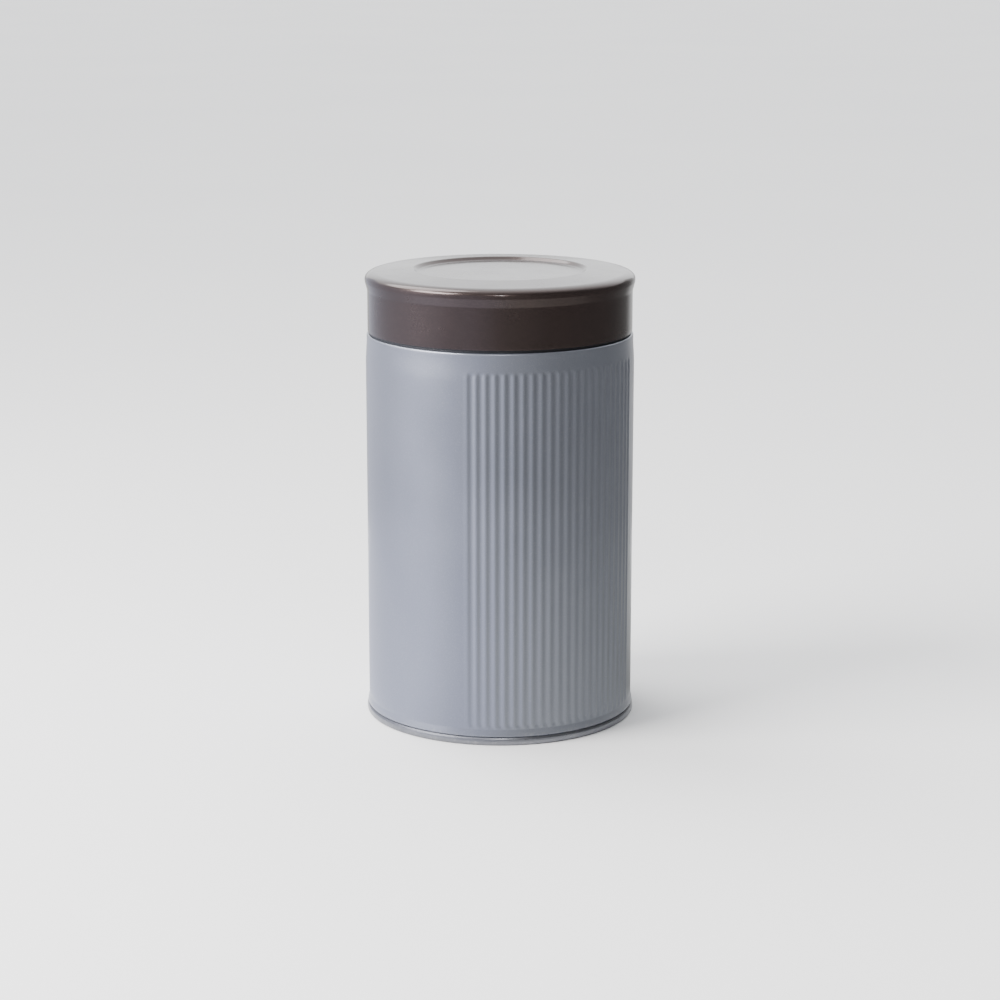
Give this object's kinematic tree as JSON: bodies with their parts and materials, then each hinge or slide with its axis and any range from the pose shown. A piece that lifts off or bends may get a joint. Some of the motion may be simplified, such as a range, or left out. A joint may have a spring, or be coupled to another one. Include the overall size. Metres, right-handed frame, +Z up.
{
  "type": "coffee tin",
  "caption": "Round metal coffee tin with upright ribbed panels, a rolled foot seam, a plug lid in its neck and a pull-off slip lid with a rounded rim.",
  "frame": {"origin": "centre of the base, on the surface that the foot ring stands on", "axes": "+Z up along the tin's axis, -Y the front seen first, +X to the right of the front"},
  "size_m": [0.0864, 0.0864, 0.1435],
  "materials": {
    "silver_lacquer": "satin metallic silver lacquer, slightly blue-grey",
    "bronze_lacquer": "glossy dark bronze-brown lacquer",
    "tinplate": "clear-lacquered bare tinplate with a faint rolling grain",
    "sealing_compound": "dried matt seaming compound",
    "polythene": "milky natural polythene, satin"
  },
  "bodies": {
    "tin_body": {"body_shell": "silver_lacquer", "bottom_end": "tinplate", "seam_compound": "sealing_compound"},
    "plug_lid": {"plug_lid": "polythene"},
    "slip_lid": {"slip_lid": "bronze_lacquer"}
  },
  "joints": [
    {"name": "plug_lid_lift", "type": "slide", "parent": "tin_body", "child": "plug_lid", "axis": [0, 0, 1], "range_m": [0, 0.09]},
    {"name": "slip_lid_lift", "type": "slide", "parent": "plug_lid", "child": "slip_lid", "axis": [0, 0, 1], "range_m": [0, 0.06]}
  ]
}
